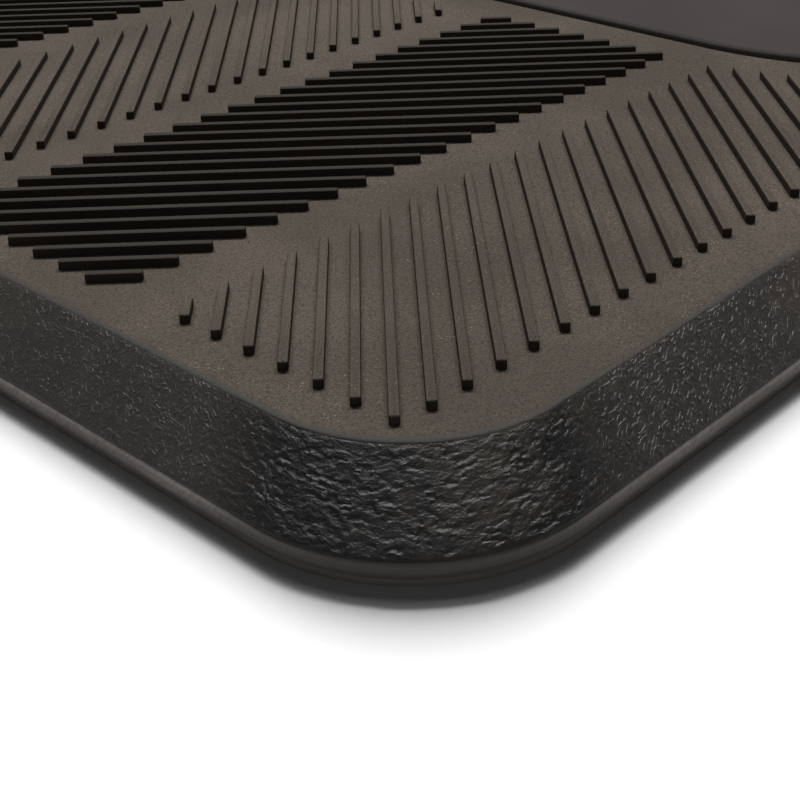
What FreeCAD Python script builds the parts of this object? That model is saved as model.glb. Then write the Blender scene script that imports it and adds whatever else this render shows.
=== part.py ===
import FreeCAD, Part
import Sketcher
import math
import os

# Anti-fatigue floor mat, in millimetres, lying on the floor at z = 0.
# X runs along the long side, Y from the front edge to the back edge, Z up.
# From the floor up it is a bonded stack:
#   grip_sheet       thin anti-slip sheet with suction cups, slightly inset
#   base_layer       round-edged rubber base, with an upstanding rim on top
#   foam_core        the cushion, held inside that rim
#   ribbed_cover     bevelled rubber cover with a herringbone of ribs at both ends
#   centre_cushion   soft insert in the recess in the middle of the cover
#   centre_pad       smooth skin over that insert, raised to the height of the ribs

DRIVING_SIZES = {
    "mat_length": 762,
    "mat_depth": 508,
    "corner_radius": 39.5,
    # anti-slip sheet
    "grip_thickness": 1.4,
    "grip_inset": 0.3,
    "cup_diameter": 14,
    "cup_depth": 0.8,
    "cup_pitch": 36,
    "cup_columns": 20,
    "cup_rows": 13,
    # base
    "base_thickness": 3.2,
    "base_top_rounding": 1.4,
    "base_bottom_rounding": 0.5,
    "rim_height": 3,
    "rim_width": 2.4,
    "assembly_gap": 0.1,
    # cover
    "cover_inset": 0.6,
    "bevel_height": 13,
    "plateau_inset": 13.6,
    "plateau_radius": 34,
    "shoulder_drop": 1.2,
    "shoulder_reach": 1.6,
    "hollow_radius": 40,
    "deck_thickness": 3,
    # ribs
    "rib_pitch": 9.2,
    "rib_width": 2,
    "rib_height": 2,
    "rib_root": 0.4,
    "rib_end_margin": 22.5,
    "rib_side_margin": 27.6,
    "forward_rib_inset": 1.5,
    "backward_rib_shift": 8.3,
    "strip_count": 6,
    "strip_gap": 16,
    # centre pad
    "pad_length": 300,
    "pad_edge_margin": 23.3,
    "pad_radius": 78,
    "pad_rise": 2,
    "pad_rounding": 1.2,
    "pad_recess": 1.2,
    "pad_gap": 0.4,
    "pad_skin": 1.5,
    "pad_rib_clearance": 16.5,
}

BASE_TOP = "(dims.grip_thickness + dims.base_thickness)"
DECK_TOP = "(dims.grip_thickness + dims.base_thickness + dims.bevel_height)"
SHORTEST_RIB = 4
LEVEL_TOLERANCE = 1e-4

doc = FreeCAD.newDocument("anti_fatigue_mat")


def make_sheet():
    """The spreadsheet of driving sizes, one alias for each."""
    sheet = doc.addObject("Spreadsheet::Sheet", "dims")
    for row, (alias, value) in enumerate(DRIVING_SIZES.items(), start=1):
        sheet.set(f"A{row}", alias)
        sheet.set(f"B{row}", str(value))
        sheet.setAlias(f"B{row}", alias)
    doc.recompute()
    return sheet


dims = make_sheet()


def evaluate(expression):
    """The number that an expression over the sheet's aliases gives now."""
    return float(dims.evalExpression(expression.replace("dims.", "")))


# Helpers for PartDesign bodies

def new_body(label):
    body = doc.addObject("PartDesign::Body", label)
    body.Label = label
    return body


def new_sketch(body, name, height):
    """A level sketch on the body's own XY plane, raised by an expression."""
    plane = next(f for f in body.Origin.OriginFeatures if f.Role == "XY_Plane")
    sketch = body.newObject("Sketcher::SketchObject", name)
    sketch.AttachmentSupport = (plane, "")
    sketch.MapMode = "FlatFace"
    sketch.setExpression("AttachmentOffset.Base.z", height)
    return sketch


def bind(sketch, constraint, name, expression):
    """Adds a dimensional constraint and binds it to the sheet."""
    index = sketch.addConstraint(constraint)
    sketch.renameConstraint(index, name)
    sketch.setExpression("Constraints." + name, expression)


def add_rounded_rectangle(sketch, name, length, depth, radius):
    """A rectangle with four equal round corners, centred on the origin."""
    x = evaluate(length) / 2
    y = evaluate(depth) / 2
    r = evaluate(radius)
    point = FreeCAD.Vector
    corner_centres = [(x - r, y - r), (r - x, y - r), (r - x, r - y), (x - r, r - y)]
    side_ends = [
        ((x - r, y), (r - x, y)),
        ((-x, y - r), (-x, r - y)),
        ((r - x, -y), (x - r, -y)),
        ((x, r - y), (x, y - r)),
    ]
    arcs = []
    sides = []
    for quarter, ((cx, cy), (start, end)) in enumerate(zip(corner_centres, side_ends)):
        circle = Part.Circle(point(cx, cy, 0), point(0, 0, 1), r)
        first = quarter * math.pi / 2
        arcs.append(sketch.addGeometry(Part.ArcOfCircle(circle, first, first + math.pi / 2)))
        sides.append(sketch.addGeometry(Part.LineSegment(point(*start, 0), point(*end, 0))))
    for quarter in range(4):
        following = arcs[(quarter + 1) % 4]
        direction = "Horizontal" if quarter % 2 == 0 else "Vertical"
        sketch.addConstraint(Sketcher.Constraint("Tangent", arcs[quarter], 2, sides[quarter], 1))
        sketch.addConstraint(Sketcher.Constraint("Tangent", sides[quarter], 2, following, 1))
        sketch.addConstraint(Sketcher.Constraint(direction, sides[quarter]))
        if quarter:
            sketch.addConstraint(Sketcher.Constraint("Equal", arcs[0], arcs[quarter]))
    top, left, bottom, right = sides
    sketch.addConstraint(Sketcher.Constraint("Symmetric", top, 1, bottom, 1, -1, 1))
    bind(sketch, Sketcher.Constraint("Radius", arcs[0], r), name + "_radius", radius)
    bind(sketch, Sketcher.Constraint("DistanceX", left, 1, right, 1, 2 * x), name + "_length", length)
    bind(sketch, Sketcher.Constraint("DistanceY", bottom, 1, top, 1, 2 * y), name + "_depth", depth)


def add_inset_outline(sketch, name, inset):
    """The mat's outline moved inwards by an expression."""
    add_rounded_rectangle(
        sketch,
        name,
        f"dims.mat_length - 2 * ({inset})",
        f"dims.mat_depth - 2 * ({inset})",
        f"dims.corner_radius - ({inset})",
    )


def add_hollow_outline(sketch, name, inset):
    """An outline round the hollow under the deck, at an inset from the mat's outline.

    Its corners are rounder than the mat's, to leave a full wall under the bevel.
    """
    add_rounded_rectangle(
        sketch,
        name,
        f"dims.mat_length - 2 * ({inset})",
        f"dims.mat_depth - 2 * ({inset})",
        f"dims.hollow_radius + dims.plateau_inset - ({inset})",
    )


def add_pad_outline(sketch, name, growth):
    """The centre pad's outline moved outwards by an expression."""
    add_rounded_rectangle(
        sketch,
        name,
        f"dims.pad_length + 2 * ({growth})",
        f"dims.mat_depth - 2 * dims.pad_edge_margin + 2 * ({growth})",
        f"dims.pad_radius + ({growth})",
    )


def add_pad(body, name, sketch, height):
    """Raises a sketch by an expression."""
    pad = body.newObject("PartDesign::Pad", name)
    pad.Profile = sketch
    pad.setExpression("Length", height)
    doc.recompute()
    return pad


def cut_pocket(body, name, sketch, depth, upwards):
    """Cuts a sketch into the body, and stops the build if nothing is cut."""
    volume_before = body.Shape.Volume
    pocket = body.newObject("PartDesign::Pocket", name)
    pocket.Profile = sketch
    pocket.Reversed = upwards
    pocket.setExpression("Length", depth)
    doc.recompute()
    if body.Shape.Volume >= volume_before:
        raise RuntimeError(f"{name} cuts nothing")
    return pocket


def round_level_edges(body, name, height, radius):
    """Rounds the edges that lie wholly at a height, given as an expression."""
    level = evaluate(height)
    base = body.Tip
    chosen = []
    for index, edge in enumerate(base.Shape.Edges, start=1):
        box = edge.BoundBox
        if max(abs(box.ZMin - level), abs(box.ZMax - level)) < LEVEL_TOLERANCE:
            chosen.append(f"Edge{index}")
    fillet = body.newObject("PartDesign::Fillet", name)
    fillet.Base = (base, chosen)
    fillet.setExpression("Radius", radius)
    doc.recompute()
    return fillet


# Sub-parts, from the floor up

def make_grip_sheet():
    body = new_body("grip_sheet")
    outline = new_sketch(body, "grip_outline", "0")
    add_inset_outline(outline, "grip", "dims.grip_inset")
    add_pad(body, "grip_slab", outline, "dims.grip_thickness")

    first_cup = new_sketch(body, "first_cup", "0")
    corner_x = "-(dims.cup_columns - 1) * dims.cup_pitch / 2"
    corner_y = "-(dims.cup_rows - 1) * dims.cup_pitch / 2"
    centre = FreeCAD.Vector(evaluate(corner_x), evaluate(corner_y), 0)
    radius = evaluate("dims.cup_diameter / 2")
    cup = first_cup.addGeometry(Part.Circle(centre, FreeCAD.Vector(0, 0, 1), radius))
    bind(first_cup, Sketcher.Constraint("Radius", cup, radius), "cup_radius", "dims.cup_diameter / 2")
    bind(first_cup, Sketcher.Constraint("DistanceX", -1, 1, cup, 3, centre.x), "cup_x", corner_x)
    bind(first_cup, Sketcher.Constraint("DistanceY", -1, 1, cup, 3, centre.y), "cup_y", corner_y)
    pocket = cut_pocket(body, "cup", first_cup, "dims.cup_depth", upwards=True)

    grid = body.newObject("PartDesign::MultiTransform", "cup_grid")
    grid.Originals = [pocket]
    patterns = []
    for axis, count in (("H_Axis", "cup_columns"), ("V_Axis", "cup_rows")):
        pattern = doc.addObject("PartDesign::LinearPattern", "pattern_" + count)
        body.addObject(pattern)
        pattern.Direction = (first_cup, [axis])
        pattern.setExpression("Occurrences", "dims." + count)
        pattern.setExpression("Length", f"(dims.{count} - 1) * dims.cup_pitch")
        patterns.append(pattern)
    grid.Transformations = patterns
    body.Tip = grid
    doc.recompute()
    return body


def make_base_layer():
    body = new_body("base_layer")
    outline = new_sketch(body, "base_outline", "dims.grip_thickness")
    add_inset_outline(outline, "base", "0")
    add_pad(body, "base_slab", outline, "dims.base_thickness")
    round_level_edges(body, "base_top_rounding", BASE_TOP, "dims.base_top_rounding")
    round_level_edges(body, "base_bottom_rounding", "dims.grip_thickness", "dims.base_bottom_rounding")

    rim = new_sketch(body, "rim_outline", BASE_TOP)
    outer_inset = "dims.plateau_inset + dims.assembly_gap"
    add_hollow_outline(rim, "rim_outer", outer_inset)
    add_hollow_outline(rim, "rim_inner", outer_inset + " + dims.rim_width")
    add_pad(body, "rim", rim, "dims.rim_height")
    return body


def make_foam_core():
    body = new_body("foam_core")
    outline = new_sketch(body, "core_outline", BASE_TOP)
    add_hollow_outline(outline, "core", "dims.plateau_inset + dims.rim_width + 3 * dims.assembly_gap")
    add_pad(body, "core", outline, "dims.bevel_height - dims.deck_thickness - dims.assembly_gap")
    return body


def make_bevelled_block(body):
    """A straight-sided loft: the foot, the shoulder, and the edge of the deck.

    The corners stay nearly as round at the deck as at the foot, so the bevel is
    wider round the corners than along the sides.
    """
    sections = [
        ("foot", "dims.cover_inset", "dims.corner_radius - dims.cover_inset", BASE_TOP),
        (
            "shoulder",
            "dims.plateau_inset - dims.shoulder_drop",
            "dims.plateau_radius",
            f"{DECK_TOP} - dims.shoulder_drop",
        ),
        ("deck", "dims.plateau_inset + dims.shoulder_reach", "dims.plateau_radius", DECK_TOP),
    ]
    sketches = []
    for name, inset, radius, height in sections:
        sketch = new_sketch(body, name + "_outline", height)
        length = f"dims.mat_length - 2 * ({inset})"
        depth = f"dims.mat_depth - 2 * ({inset})"
        add_rounded_rectangle(sketch, name, length, depth, radius)
        sketches.append(sketch)
    doc.recompute()
    loft = body.newObject("PartDesign::AdditiveLoft", "bevel")
    loft.Profile = sketches[0]
    loft.Sections = sketches[1:]
    loft.Ruled = True
    doc.recompute()


def make_cover_blank():
    """The cover before its ribs: bevelled block, hollow below, recessed above."""
    body = new_body("cover_blank")
    make_bevelled_block(body)

    cavity = new_sketch(body, "cavity_outline", BASE_TOP)
    add_hollow_outline(cavity, "cavity", "dims.plateau_inset")
    cut_pocket(body, "cavity", cavity, "dims.bevel_height - dims.deck_thickness", upwards=True)

    recess = new_sketch(body, "recess_outline", DECK_TOP)
    add_pad_outline(recess, "recess", "dims.pad_gap")
    cut_pocket(body, "recess", recess, "dims.pad_recess", upwards=False)
    return body


def flat_rounded_rectangle(half_length, half_depth, radius):
    """A level face at z = 0, to clip the ribs' centre lines with."""
    near_corner = FreeCAD.Vector(-half_length, -half_depth, 0)
    slab = Part.makeBox(2 * half_length, 2 * half_depth, 1, near_corner)
    upright = [edge for edge in slab.Edges if edge.BoundBox.ZLength > LEVEL_TOLERANCE]
    slab = slab.makeFillet(radius, upright)
    return next(face for face in slab.Faces if face.BoundBox.ZMax < LEVEL_TOLERANCE)


def rib_lines():
    """Centre lines of the ribs at the left-hand end of the mat.

    The ribs lie in strips along X. They lean forwards and backwards in turn,
    at 45 degrees, which makes the herringbone. Each strip starts at a line across
    the mat and ends at a fixed distance from the centre pad's outline.
    """
    half_length = dims.mat_length / 2
    half_depth = dims.mat_depth / 2
    clearance = dims.pad_rib_clearance
    beyond_pad = flat_rounded_rectangle(
        dims.pad_length / 2 + clearance,
        half_depth - dims.pad_edge_margin + clearance,
        dims.pad_radius + clearance,
    )
    left = dims.rib_end_margin - half_length
    ribbed_depth = dims.mat_depth - 2 * dims.rib_side_margin
    strip_count = int(dims.strip_count)
    strip_depth = (ribbed_depth - (strip_count - 1) * dims.strip_gap) / strip_count
    ribs_across = math.ceil(strip_depth / dims.rib_pitch)
    ribs_along = math.ceil(-left / dims.rib_pitch)
    for strip in range(strip_count):
        front = dims.rib_side_margin - half_depth + strip * (strip_depth + dims.strip_gap)
        leans_forwards = strip % 2 == 0
        lean = strip_depth if leans_forwards else -strip_depth
        shift = 0 if leans_forwards else dims.backward_rib_shift
        start = left + dims.forward_rib_inset if leans_forwards else left
        field = Part.makePlane(-start, strip_depth, FreeCAD.Vector(start, front, 0)).cut(beyond_pad)
        for number in range(-ribs_across, ribs_along + ribs_across):
            foot = left + shift + number * dims.rib_pitch
            line = Part.makeLine((foot, front, 0), (foot + lean, front + strip_depth, 0))
            for piece in line.common(field).Edges:
                if piece.Length > SHORTEST_RIB:
                    yield piece


def rib_block(line):
    """A square-ended bar along a rib's centre line, sunk a little into the deck."""
    start, end = (vertex.Point for vertex in line.Vertexes)
    run = end - start
    bar = Part.makeBox(run.Length, dims.rib_width, dims.rib_height + dims.rib_root)
    bar.translate(FreeCAD.Vector(0, -dims.rib_width / 2, -dims.rib_root))
    bar.rotate(FreeCAD.Vector(), FreeCAD.Vector(0, 0, 1), math.degrees(math.atan2(run.y, run.x)))
    bar.translate(start + FreeCAD.Vector(0, 0, evaluate(DECK_TOP)))
    return bar


def make_ribbed_cover():
    """The cover blank with its ribs: the same pattern at both ends, mirrored."""
    blank = make_cover_blank()
    left_ribs = [rib_block(line) for line in rib_lines()]
    right_ribs = [rib.mirror(FreeCAD.Vector(), FreeCAD.Vector(1, 0, 0)) for rib in left_ribs]
    ribs = doc.addObject("Part::Feature", "ribs")
    ribs.Shape = Part.makeCompound(left_ribs + right_ribs)
    cover = doc.addObject("Part::Fuse", "ribbed_cover")
    cover.Base = blank
    cover.Tool = ribs
    doc.recompute()
    return cover


def make_centre_pad():
    body = new_body("centre_pad")
    floor = f"{DECK_TOP} - dims.pad_recess"
    outline = new_sketch(body, "pad_outline", floor)
    add_pad_outline(outline, "pad", "0")
    add_pad(body, "pad_slab", outline, "dims.pad_recess + dims.pad_rise")
    round_level_edges(body, "pad_rounding", f"{DECK_TOP} + dims.pad_rise", "dims.pad_rounding")

    hollow = new_sketch(body, "pad_hollow", floor)
    add_pad_outline(hollow, "hollow", "-dims.pad_skin")
    cut_pocket(body, "hollow", hollow, "dims.pad_recess + dims.pad_rise - dims.pad_skin", upwards=True)
    return body


def make_centre_cushion():
    body = new_body("centre_cushion")
    outline = new_sketch(body, "cushion_outline", f"{DECK_TOP} - dims.pad_recess")
    add_pad_outline(outline, "cushion", "-dims.pad_skin - 2 * dims.assembly_gap")
    height = "dims.pad_recess + dims.pad_rise - dims.pad_skin - dims.assembly_gap"
    add_pad(body, "cushion", outline, height)
    return body


def check_document():
    """Stops the build if any object of the document has failed."""
    for item in doc.Objects:
        if {"Invalid", "Error"} & set(item.State):
            raise RuntimeError(f"{item.Label} failed: {item.State}")


def export(part):
    """Writes one sub-part, after checking that it is one sound solid."""
    shape = part.Shape
    if shape.isNull() or not shape.isValid() or len(shape.Solids) != 1:
        raise RuntimeError(f"{part.Label} isn't one valid solid")
    shape.exportStep(f"parts/{part.Label}.step")
    box = shape.BoundBox
    print(f"{part.Label}: {box.XLength:.1f} x {box.YLength:.1f} x {box.ZLength:.2f} mm,"
          f" z {box.ZMin:.2f} to {box.ZMax:.2f}, {shape.Volume / 1000:.0f} cm3")


sub_parts = [
    make_grip_sheet(),
    make_base_layer(),
    make_foam_core(),
    make_ribbed_cover(),
    make_centre_cushion(),
    make_centre_pad(),
]
check_document()
os.makedirs("parts", exist_ok=True)
for sub_part in sub_parts:
    export(sub_part)
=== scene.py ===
import math

import bpy
from mathutils import Matrix, Vector, noise
from mathutils.geometry import delaunay_2d_cdt


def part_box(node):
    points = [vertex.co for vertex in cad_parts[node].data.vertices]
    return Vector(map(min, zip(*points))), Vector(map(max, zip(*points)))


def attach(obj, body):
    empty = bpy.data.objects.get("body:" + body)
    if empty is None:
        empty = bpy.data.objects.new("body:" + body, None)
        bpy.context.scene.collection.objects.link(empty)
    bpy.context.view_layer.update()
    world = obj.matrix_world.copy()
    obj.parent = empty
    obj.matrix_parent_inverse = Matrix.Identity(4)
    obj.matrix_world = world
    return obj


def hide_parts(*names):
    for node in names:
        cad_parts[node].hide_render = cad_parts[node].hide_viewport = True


# The visual model of an anti-fatigue floor mat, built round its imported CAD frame.
# Lengths are in millimetres until a mesh is made, and in metres from then on.

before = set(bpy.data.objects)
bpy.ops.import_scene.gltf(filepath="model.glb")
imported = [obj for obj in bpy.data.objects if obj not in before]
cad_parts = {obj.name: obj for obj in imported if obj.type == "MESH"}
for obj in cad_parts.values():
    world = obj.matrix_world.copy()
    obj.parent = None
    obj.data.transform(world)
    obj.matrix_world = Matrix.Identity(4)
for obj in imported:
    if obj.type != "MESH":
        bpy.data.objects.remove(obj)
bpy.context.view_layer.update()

MM = 0.001


def box_mm(node):
    """Lowest and highest corner of a CAD node, in millimetres."""
    low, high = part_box(node)
    return low / MM, high / MM


BASE_LOW, BASE_HIGH = box_mm("base_layer")
COVER_LOW, COVER_HIGH = box_mm("ribbed_cover")
CORE_LOW, CORE_HIGH = box_mm("foam_core")
PAD_LOW, PAD_HIGH = box_mm("centre_pad")
CUSHION_LOW, CUSHION_HIGH = box_mm("centre_cushion")

# The mat's outline
HALF_LENGTH = BASE_HIGH.x
HALF_DEPTH = BASE_HIGH.y
CORNER_RADIUS = 39.5

# Room between the cover's hollow and what is in it
FIT_GAP = 0.1

# Cover
COVER_INSET = 0.6
PLATEAU_INSET = 13.6
PLATEAU_RADIUS = 34
PLATEAU_ROUNDING = 4
FOOT_ROUNDING = 0.5
RIB_HEIGHT = 2
BASE_TOP = COVER_LOW.z
DECK_TOP = COVER_HIGH.z - RIB_HEIGHT
CAVITY_TOP = CORE_HIGH.z + FIT_GAP
HOLLOW_RADIUS = 40

# Ribs
RIB_PITCH = 9.2
RIB_WIDTH = 2
RIB_END_MARGIN = 22.5
RIB_SIDE_MARGIN = 27.6
FORWARD_RIB_INSET = 1.5
BACKWARD_RIB_SHIFT = 8.3
STRIP_COUNT = 6
STRIP_GAP = 16
SHORTEST_RIB = 4
RIB_TOP_ROUNDING = 0.35
RIB_END_CHAMFER = 0.25
RIB_SEGMENT = 24
# Share of the painted shade on rib tops that the ribs leaning forwards get
FORWARD_TOP_SHADE = 0.1
CLIP_STEPS = 60
CLIP_HALVINGS = 24

# A rib's section: inset, height over the deck, and whether it is side and top
RIB_SECTION = [
    (0.0, 0.0, 0, 0),
    (0.01, 0.15, 1, 0),
    (0.03, RIB_HEIGHT - RIB_TOP_ROUNDING, 1, 0),
    (0.13, RIB_HEIGHT - RIB_TOP_ROUNDING * 0.3, 0, 1),
    (RIB_TOP_ROUNDING, RIB_HEIGHT, 0, 1),
]

# Centre pad
PAD_RADIUS = 78
PAD_GAP = 0.4
PAD_SKIN = 1.5
PAD_ROUNDING = 1.3
PAD_RIB_CLEARANCE = 16.5
PAD_CROWN = 0.35
PAD_CROWN_REACH = 60
PAD_EDGE_DIP = 0.12
PAD_EDGE_REACH = (1, 6)
PAD_SHOULDER = 0.4
PAD_RINGS = (3, 6, 11, 18, 28, 42, 60)
PAD_STEP = 2.5

# Foam: edge rounding and how far the sides draw in, for the core and the cushion
FOAM_STEP = 5
FOAM_RINGS = (4, 9, 18)
CORE_SHAPE = (1.6, 0.5)
CUSHION_SHAPE = (0.6, 0.15)

# Base
BASE_TOP_ROUNDING = 1.4
BASE_BOTTOM_ROUNDING = 0.5
RIM_OUTER_INSET = PLATEAU_INSET + FIT_GAP
RIM_WIDTH = 2.4
BASE_LEDGE = CORE_LOW.z
FLASH_HEIGHT = 1.1
FLASH_SIZE = 0.08


# Walking round an outline

# How much of a corner's arc, from its middle, is fully corner, and where it ends
CORNER_FULL = 0.42
CORNER_END = 0.85


def walk_outline(half_x, half_y, radius, step_at):
    """Columns round a rounded rectangle, anticlockwise from above.

    Each column is (core point, outward normal, distance along the outline). A
    point of the outline is the core point plus the normal times the radius. The
    distance starts in the middle of the far right corner, so that the middle of
    the near left corner is half the way round.
    """
    x, y = half_x - radius, half_y - radius
    corners = [(x, y), (-x, y), (-x, -y), (x, -y)]
    quarter = radius * math.pi / 2
    runs = [(quarter / 2, corners[0], corners[0], 45, 90)]
    for side in range(4):
        here, there = corners[side], corners[(side + 1) % 4]
        angle = 90 * (side + 1)
        turn = 45 if side == 3 else 90
        runs.append((2 * (y if side % 2 else x), here, there, angle, angle))
        runs.append((quarter * turn / 90, there, there, angle, angle + turn))
    total = sum(run[0] for run in runs)
    along = [0.0]
    while along[-1] < total:
        along.append(along[-1] + step_at(along[-1] - total / 2))
    squeeze = total / along.pop()
    columns = []
    for distance in along:
        distance *= squeeze
        rest = distance
        for length, start, end, first, last in runs:
            if rest <= length:
                break
            rest -= length
        share = rest / length
        angle = math.radians(first + (last - first) * share)
        core = Vector(start).lerp(Vector(end), share)
        normal = Vector((math.cos(angle), math.sin(angle)))
        columns.append((core, normal, distance - total / 2))
    return columns


def outline_place(column, inset, radius):
    """The place of a column at an inset from the mat's outline.

    The outline there has its own corner radius, so along the straight sides the
    columns are spread in proportion.
    """
    core, normal, _ = column
    excess = CORNER_RADIUS - inset - radius
    share_x = core.x / (HALF_LENGTH - CORNER_RADIUS)
    share_y = core.y / (HALF_DEPTH - CORNER_RADIUS)
    return core + Vector((share_x, share_y)) * excess + normal * radius


def bevel_radius(inset):
    """Corner radius of the cover's outline at an inset, from its foot to the deck."""
    foot_radius = CORNER_RADIUS - COVER_INSET
    share = (inset - COVER_INSET) / (PLATEAU_INSET - COVER_INSET)
    return foot_radius + (PLATEAU_RADIUS - foot_radius) * min(1, share)


def corner_share(distance):
    """1 in the middle of each of the mat's corners, 0 along its straight sides."""
    x, y = HALF_LENGTH - CORNER_RADIUS, HALF_DEPTH - CORNER_RADIUS
    arc = CORNER_RADIUS * math.pi / 2
    along_side, along_end = 2 * x + arc, 2 * y + arc
    nearest = min(
        abs(distance),
        abs(distance + along_end),
        abs(distance - along_side),
        abs(abs(distance) - along_side - along_end),
    )
    return 1 - smooth_step(arc * CORNER_FULL, arc * CORNER_END, nearest)


def smooth_step(low, high, value):
    """0 below low, 1 above high and a smooth curve between them."""
    share = min(1, max(0, (value - low) / (high - low)))
    return share * share * (3 - 2 * share)


def arc_points(centre, radius, first, last, count):
    """Points (inset, height) on an arc of a cross-section, angles in degrees."""
    points = []
    for index in range(count + 1):
        angle = math.radians(first + (last - first) * index / count)
        points.append((centre[0] + radius * math.cos(angle), centre[1] + radius * math.sin(angle)))
    return points


def resample(points, count):
    """Evenly spaced points along a cross-section, with the distance along it."""
    lengths = [0.0]
    for (x0, z0), (x1, z1) in zip(points, points[1:]):
        lengths.append(lengths[-1] + math.hypot(x1 - x0, z1 - z0))
    result = []
    segment = 0
    for index in range(count + 1):
        target = lengths[-1] * index / count
        while segment < len(points) - 2 and lengths[segment + 1] < target:
            segment += 1
        share = (target - lengths[segment]) / (lengths[segment + 1] - lengths[segment])
        (x0, z0), (x1, z1) = points[segment], points[segment + 1]
        result.append((x0 + (x1 - x0) * share, z0 + (z1 - z0) * share, target))
    return result


# Building closed meshes

SHARP_ANGLE = 40
FILL_INSIDE = 1
FILL_TOLERANCE = 1e-5


class Shell:
    """Points, in millimetres, and faces of one closed mesh.

    `flow` and `shares` hold values of points for the materials to read, and
    `second` lists the faces that take the second material.
    """

    def __init__(self):
        self.points = []
        self.faces = []
        self.flow = {}
        self.shares = {}
        self.second = []

    def add(self, point):
        self.points.append(Vector(point))
        return len(self.points) - 1

    def mark(self, name, index, value):
        """Gives a point a value from 0 to 1, which a material reads by its name."""
        self.shares.setdefault(name, {})[index] = value

    def ring(self, columns, radius, inset, height):
        """A level loop round an outline, at an inset from it."""
        loop = []
        for core, normal, _ in columns:
            place = core + normal * (radius - inset)
            loop.append(self.add((place.x, place.y, height)))
        return loop

    def inset_ring(self, columns, inset, radius, height):
        """A level loop inside the mat's outline, with its own corner radius."""
        loop = []
        for column in columns:
            place = outline_place(column, inset, radius)
            loop.append(self.add((place.x, place.y, height)))
        return loop

    def bridge(self, lower, upper):
        """Joins two loops with as many points; outward is on the right of lower."""
        count = len(lower)
        for here in range(count):
            there = (here + 1) % count
            self.faces.append((lower[here], lower[there], upper[there], upper[here]))

    def zip_columns(self, left, right):
        """Joins two upright columns, of which one may have twice the steps."""
        if len(left) == len(right):
            for row in range(len(left) - 1):
                self.faces.append((left[row], right[row], right[row + 1], left[row + 1]))
            return
        dense_left = len(left) > len(right)
        coarse, dense = (right, left) if dense_left else (left, right)
        for row in range(len(coarse) - 1):
            low, middle, high = dense[2 * row:2 * row + 3]
            triangles = [
                (coarse[row], low, middle),
                (coarse[row], middle, coarse[row + 1]),
                (coarse[row + 1], middle, high),
            ]
            for triangle in triangles:
                self.faces.append(triangle[::-1] if dense_left else triangle)

    def fill(self, outer, holes=(), inner=(), height=None, upward=True):
        """Fills the area inside a loop, round its holes, with triangles."""
        known = list(outer)
        for hole in holes:
            known.extend(hole)
        flat = [self.points[index].xy for index in known]
        loops = [list(range(len(outer)))]
        start = len(outer)
        for hole in holes:
            loops.append(list(range(start, start + len(hole))))
            start += len(hole)
        for place in inner:
            flat.append(Vector(place))
        _, _, faces, sources, _, owners = delaunay_2d_cdt(
            flat, [], loops, FILL_INSIDE, FILL_TOLERANCE, True
        )
        added = {}
        for face, owner in zip(faces, owners):
            if any(owned > 0 for owned in owner):
                continue
            corners = []
            for corner in face:
                source = sources[corner][0]
                if source >= len(known):
                    if source not in added:
                        x, y = flat[source]
                        added[source] = self.add((x, y, height(x, y)))
                    corners.append(added[source])
                else:
                    corners.append(known[source])
            a, b, c = (self.points[corner].xy for corner in corners[:3])
            if ((b - a).cross(c - a) > 0) != upward:
                corners.reverse()
            self.faces.append(tuple(corners))

    def make(self, name, materials):
        """The Blender object, in metres, with its attributes for the materials."""
        mesh = bpy.data.meshes.new(name)
        mesh.from_pydata([point * MM for point in self.points], [], self.faces)
        for material in materials:
            mesh.materials.append(material)
        for face in self.second:
            mesh.polygons[face].material_index = 1
        mesh.validate()
        if self.flow:
            write_flow(mesh, self.flow)
        for share_name, values in self.shares.items():
            write_shares(mesh, share_name, values)
        mesh.shade_smooth()
        mesh.set_sharp_from_angle(angle=math.radians(SHARP_ANGLE))
        piece = bpy.data.objects.new(name, mesh)
        bpy.context.scene.collection.objects.link(piece)
        return piece


def write_flow(mesh, flow):
    """Stores how far each face corner is along the edge and up the bevel.

    The distance along the edge jumps where it starts again, so it is stored for
    face corners, and the far side of the jump is carried on past the end.
    """
    half_way = max(value[0] for value in flow.values())
    along = mesh.attributes.new("flow", "FLOAT_VECTOR", "CORNER")
    values = [0.0] * (3 * len(mesh.loops))
    for polygon in mesh.polygons:
        corners = [flow.get(vertex, (0, 0, 0)) for vertex in polygon.vertices]
        furthest = max(corner[0] for corner in corners)
        for loop, corner in zip(polygon.loop_indices, corners):
            distance = corner[0]
            if furthest - distance > half_way:
                distance += 2 * half_way
            values[3 * loop:3 * loop + 3] = (distance, corner[1], corner[2])
    along.data.foreach_set("vector", values)


def write_shares(mesh, name, shares):
    """Stores a value from 0 to 1 for each point; points that have none get 0."""
    attribute = mesh.attributes.new(name, "FLOAT", "POINT")
    values = [shares.get(index, 0.0) for index in range(len(mesh.vertices))]
    attribute.data.foreach_set("value", values)


# Cover: bevel, deck, ribs and recess in one moulding

# The mesh of the bevel: column spacing by distance from the near corner, and rows
FINE_REACH = 78
FINE_FADE = (12, 1)
MIDDLE_REACH = 160
FINE_STEP = 0.27
MIDDLE_STEP = 0.8
COARSE_STEP = 2.2
COARSE_ROWS = 34
RECESS_STEP = 6
CAVITY_STEP = 12

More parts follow.
